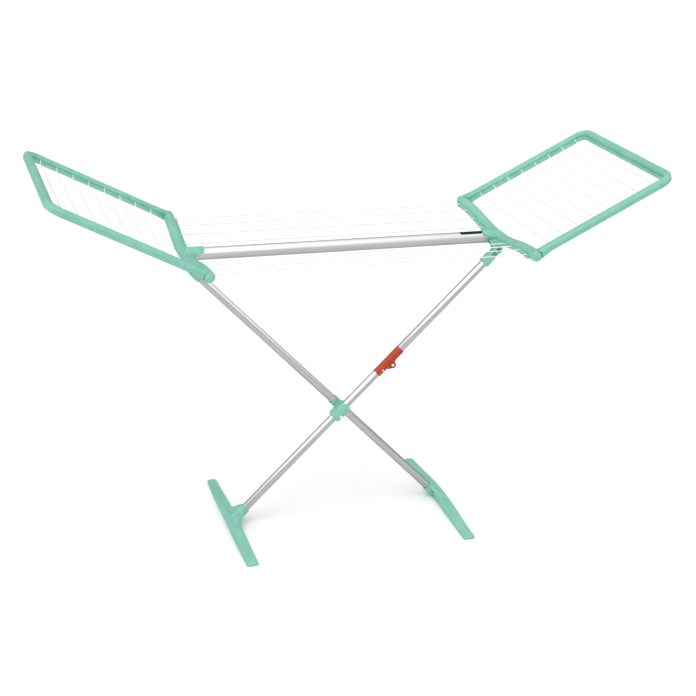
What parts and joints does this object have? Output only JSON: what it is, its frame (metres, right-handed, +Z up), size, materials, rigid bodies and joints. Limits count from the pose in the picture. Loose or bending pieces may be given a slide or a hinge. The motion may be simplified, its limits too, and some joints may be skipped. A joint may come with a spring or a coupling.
{
  "type": "clothes drying rack",
  "caption": "Folding clothes drying rack: a beam carries drying lines between two crossbars with hinged line wings, on crossed legs that fold at a knee.",
  "frame": {"origin": "on the floor, under the middle of the whole rack", "axes": "+X along the beam from the left wing to the right wing, +Y across the rack towards its back, +Z up"},
  "size_m": [1.8912, 0.637, 1.185],
  "materials": {
    "mint_plastic": "moulded, satin",
    "red_plastic": "moulded, satin",
    "white_line": "smooth sheathed cord",
    "aluminium_tube": "satin anodised",
    "steel_pin": "zinc plated",
    "black_label": "plain film"
  },
  "bodies": {
    "top_frame": {"beam": "aluminium_tube", "beam_label": "black_label", "crossbar_left": "mint_plastic", "crossbar_right": "mint_plastic", "left_hinge_pin_back": "steel_pin", "left_hinge_pin_front": "steel_pin", "leg_pin_a": "steel_pin", "leg_pin_b": "steel_pin", "main_line_1": "white_line", "main_line_2": "white_line", "main_line_3": "white_line", "main_line_4": "white_line", "main_line_5": "white_line", "main_line_6": "white_line", "main_line_7": "white_line", "main_line_8": "white_line", "right_hinge_pin_back": "steel_pin", "right_hinge_pin_front": "steel_pin"},
    "left_wing": {"left_hinge_cap_back": "mint_plastic", "left_hinge_cap_front": "mint_plastic", "left_wing_frame": "mint_plastic", "left_wing_line_1": "white_line", "left_wing_line_2": "white_line", "left_wing_line_3": "white_line", "left_wing_line_4": "white_line", "left_wing_line_5": "white_line", "left_wing_line_6": "white_line", "left_wing_line_7": "white_line", "left_wing_line_8": "white_line"},
    "right_wing": {"right_hinge_cap_back": "mint_plastic", "right_hinge_cap_front": "mint_plastic", "right_wing_frame": "mint_plastic", "right_wing_line_1": "white_line", "right_wing_line_2": "white_line", "right_wing_line_3": "white_line", "right_wing_line_4": "white_line", "right_wing_line_5": "white_line", "right_wing_line_6": "white_line", "right_wing_line_7": "white_line", "right_wing_line_8": "white_line"},
    "leg_a": {"cross_pin": "steel_pin", "cross_sleeve_a": "mint_plastic", "foot_a": "mint_plastic", "leg_fitting_a": "mint_plastic", "leg_tube_a": "aluminium_tube"},
    "leg_b_upper": {"knee_upper": "red_plastic", "leg_fitting_b": "mint_plastic", "leg_tube_b_upper": "aluminium_tube"},
    "leg_b_lower": {"cross_clip_b": "mint_plastic", "cross_rivet_head": "steel_pin", "foot_b": "mint_plastic", "knee_eyelet": "steel_pin", "knee_lower": "red_plastic", "knee_rivet": "steel_pin", "leg_tube_b_lower": "aluminium_tube"}
  },
  "joints": [
    {"name": "leg_a_fold", "type": "hinge", "parent": "top_frame", "child": "leg_a", "pos_m": [-0.5, 0.016, 0.882], "axis": [0, -1, 0], "range_deg": [0, 35.69]},
    {"name": "leg_b_fold", "type": "hinge", "parent": "top_frame", "child": "leg_b_upper", "pos_m": [0.5, -0.016, 0.882], "axis": [0, 1, 0], "range_deg": [0, 43]},
    {"name": "knee_fold", "type": "hinge", "parent": "leg_b_upper", "child": "leg_b_lower", "pos_m": [0.16313, -0.016, 0.51481], "axis": [0, -1, 0], "range_deg": [0, 159.81]},
    {"name": "left_wing_fold", "type": "hinge", "parent": "top_frame", "child": "left_wing", "pos_m": [-0.5, 0, 0.951], "axis": [0, 1, 0], "range_deg": [0, 144]},
    {"name": "right_wing_fold", "type": "hinge", "parent": "top_frame", "child": "right_wing", "pos_m": [0.5, 0, 0.951], "axis": [0, -1, 0], "range_deg": [0, 144]}
  ],
  "couplings": [
    {"joint": "leg_b_fold", "follows": "leg_a_fold", "ratio": 1.2048},
    {"joint": "knee_fold", "follows": "leg_a_fold", "ratio": 4.4777}
  ]
}
